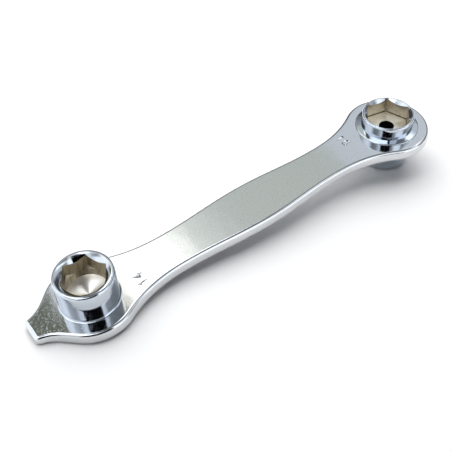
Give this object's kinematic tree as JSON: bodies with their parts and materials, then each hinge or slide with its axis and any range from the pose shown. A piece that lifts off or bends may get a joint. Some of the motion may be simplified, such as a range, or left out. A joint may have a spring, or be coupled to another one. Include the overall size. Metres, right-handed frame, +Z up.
{
  "type": "crank bolt wrench",
  "caption": "Flat chromed crank bolt wrench: a 14 mm hex socket and a prying blade at one end, 16 mm and 15 mm hex sockets back to back at the other.",
  "frame": {"origin": "middle of the box round the tool, on the surface that it lies on", "axes": "+X along the bar from the prying blade to the 16 mm end, +Y across the bar, +Z up with the 14 mm and 16 mm sockets facing up"},
  "size_m": [0.1744, 0.0336, 0.0227],
  "materials": {
    "bar_chrome": "satin chrome plate with a fine grain",
    "socket_chrome": "bright chrome plate, warm nickel inside the hex sockets",
    "filler_chrome": "plated over with the joint"
  },
  "bodies": {
    "root": {"handle_bar": "bar_chrome", "socket_14mm": "socket_chrome", "socket_16mm_15mm": "socket_chrome", "braze_ring_14mm": "filler_chrome", "braze_ring_15mm": "filler_chrome"}
  },
  "joints": []
}
